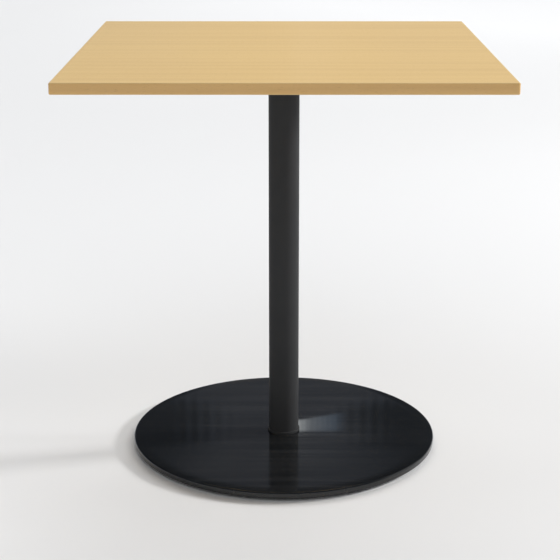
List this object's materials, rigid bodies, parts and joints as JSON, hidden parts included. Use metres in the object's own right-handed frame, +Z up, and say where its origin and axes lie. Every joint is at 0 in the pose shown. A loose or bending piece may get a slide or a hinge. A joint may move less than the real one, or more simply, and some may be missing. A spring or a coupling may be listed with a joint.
{
  "type": "bistro table",
  "caption": "Cafe table with a pale wooden rectangular top on a slim black steel column and a large low round base with levelling glides.",
  "frame": {"origin": "on the floor, on the column's axis, at the centre of the table's footprint", "axes": "+Z up; +Y along the top's longer side, away from the front; +X along the top's shorter side, to the right seen from the front"},
  "size_m": [0.7112, 0.762, 0.7366],
  "materials": {
    "wood_face": "pale maple veneer, satin lacquer",
    "wood_backer": "maple backing veneer, thin lacquer",
    "wood_edge": "solid maple lipping, satin lacquer",
    "fibreboard": "raw pressed fibreboard",
    "black_satin": "satin black powder coat",
    "black_gloss": "gloss black enamel",
    "ballast_paint": "matt black primer over cast iron",
    "plain_steel": "turned mild steel",
    "zinc_steel": "bright zinc plating",
    "black_nylon": "moulded black nylon"
  },
  "bodies": {
    "table": {"top_core": "fibreboard", "top_face_sheet": "wood_face", "top_backer_sheet": "wood_backer", "lipping_front": "wood_edge", "lipping_back": "wood_edge", "lipping_left": "wood_edge", "lipping_right": "wood_edge", "mounting_plate": "black_satin", "wood_screws": "zinc_steel", "top_hub": "plain_steel", "column_tube": "black_satin", "tie_rod": "zinc_steel", "tie_rod_washer": "zinc_steel", "tie_rod_lock_washer": "zinc_steel", "tie_rod_nut": "zinc_steel", "column_collar": "black_satin", "foot_hub": "plain_steel", "foot_hub_screws": "zinc_steel", "base_cover": "black_gloss", "base_weight": "ballast_paint"},
    "pad_1": {"glide_pad_1": "black_nylon"},
    "stud_1": {"glide_stud_1": "zinc_steel"},
    "pad_2": {"glide_pad_2": "black_nylon"},
    "stud_2": {"glide_stud_2": "zinc_steel"},
    "pad_3": {"glide_pad_3": "black_nylon"},
    "stud_3": {"glide_stud_3": "zinc_steel"},
    "pad_4": {"glide_pad_4": "black_nylon"},
    "stud_4": {"glide_stud_4": "zinc_steel"}
  },
  "joints": [
    {"name": "glide_1_height", "type": "slide", "parent": "table", "child": "pad_1", "axis": [0, 0, 1], "range_m": [-0.005, 0]},
    {"name": "glide_1_screw", "type": "hinge", "parent": "pad_1", "child": "stud_1", "pos_m": [0.15698, 0.15698, 0.008], "axis": [0, 0, 1], "range_deg": [-1440.1, 0]},
    {"name": "glide_2_height", "type": "slide", "parent": "table", "child": "pad_2", "axis": [0, 0, 1], "range_m": [-0.005, 0]},
    {"name": "glide_2_screw", "type": "hinge", "parent": "pad_2", "child": "stud_2", "pos_m": [-0.15698, 0.15698, 0.008], "axis": [0, 0, 1], "range_deg": [-1440.1, 0]},
    {"name": "glide_3_height", "type": "slide", "parent": "table", "child": "pad_3", "axis": [0, 0, 1], "range_m": [-0.005, 0]},
    {"name": "glide_3_screw", "type": "hinge", "parent": "pad_3", "child": "stud_3", "pos_m": [-0.15698, -0.15698, 0.008], "axis": [0, 0, 1], "range_deg": [-1440.1, 0]},
    {"name": "glide_4_height", "type": "slide", "parent": "table", "child": "pad_4", "axis": [0, 0, 1], "range_m": [-0.005, 0]},
    {"name": "glide_4_screw", "type": "hinge", "parent": "pad_4", "child": "stud_4", "pos_m": [0.15698, -0.15698, 0.008], "axis": [0, 0, 1], "range_deg": [-1440.1, 0]}
  ],
  "couplings": [
    {"joint": "glide_1_screw", "follows": "glide_1_height", "rad_per_m": 5026.5},
    {"joint": "glide_2_screw", "follows": "glide_2_height", "rad_per_m": 5026.5},
    {"joint": "glide_3_screw", "follows": "glide_3_height", "rad_per_m": 5026.5},
    {"joint": "glide_4_screw", "follows": "glide_4_height", "rad_per_m": 5026.5}
  ]
}
